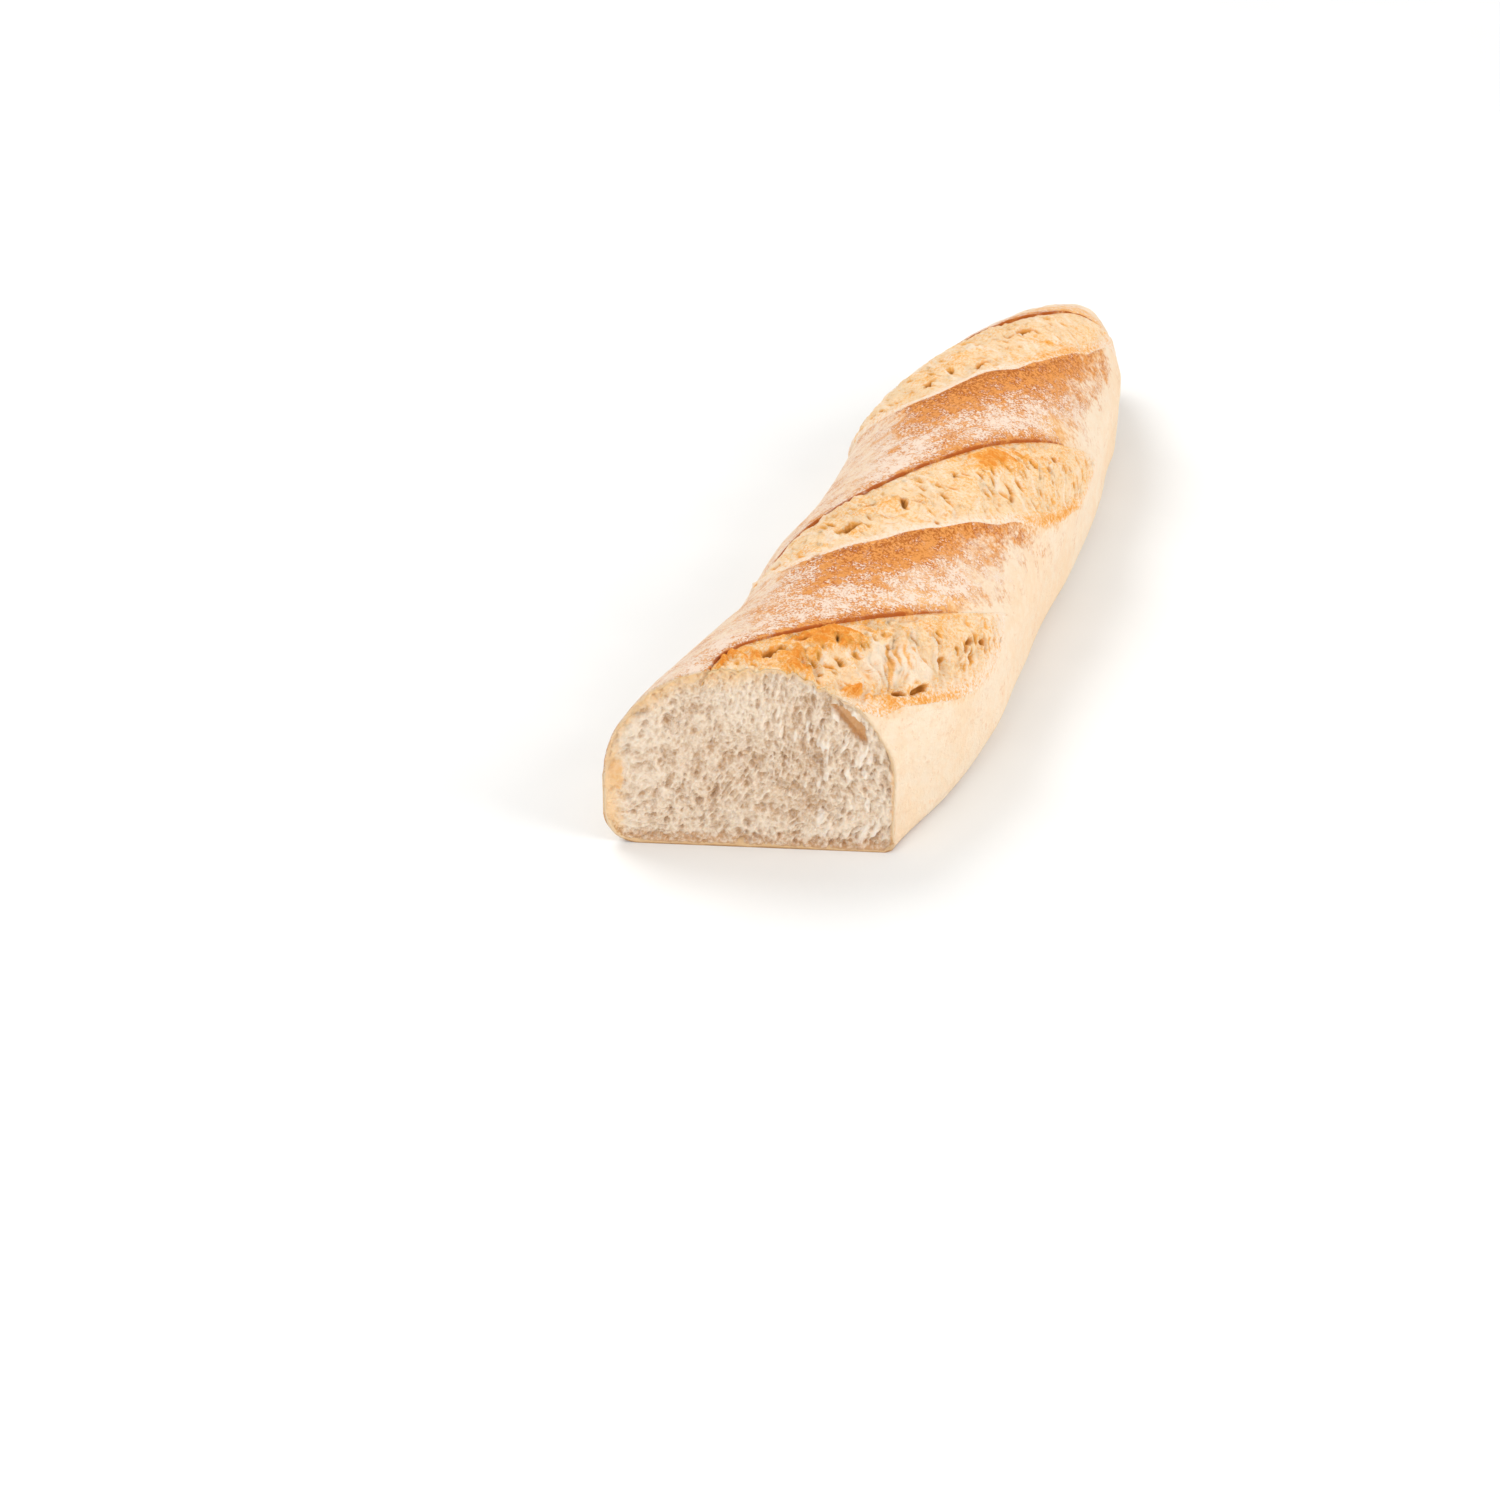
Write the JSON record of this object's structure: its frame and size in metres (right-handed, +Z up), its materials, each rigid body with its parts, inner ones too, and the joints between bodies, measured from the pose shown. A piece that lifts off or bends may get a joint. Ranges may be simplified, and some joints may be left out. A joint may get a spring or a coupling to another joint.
{
  "type": "baguette",
  "caption": "Cut baguette lying on its flat base, with an oblique cut face, a rounded tip, and diagonal scores with raised ears along the top.",
  "frame": {"origin": "centre of the bounding box at the flat base", "axes": "+Y along the loaf from the cut face to the tip, +Z up, +X to the right seen from the cut"},
  "size_m": [0.0828, 0.2942, 0.0543],
  "materials": {
    "crust": "baked crust, matt, pale at the sides, browned and floury on top",
    "crumb": "open white crumb, matt and soft"
  },
  "bodies": {
    "root": {"baguette": "crust"}
  },
  "joints": []
}
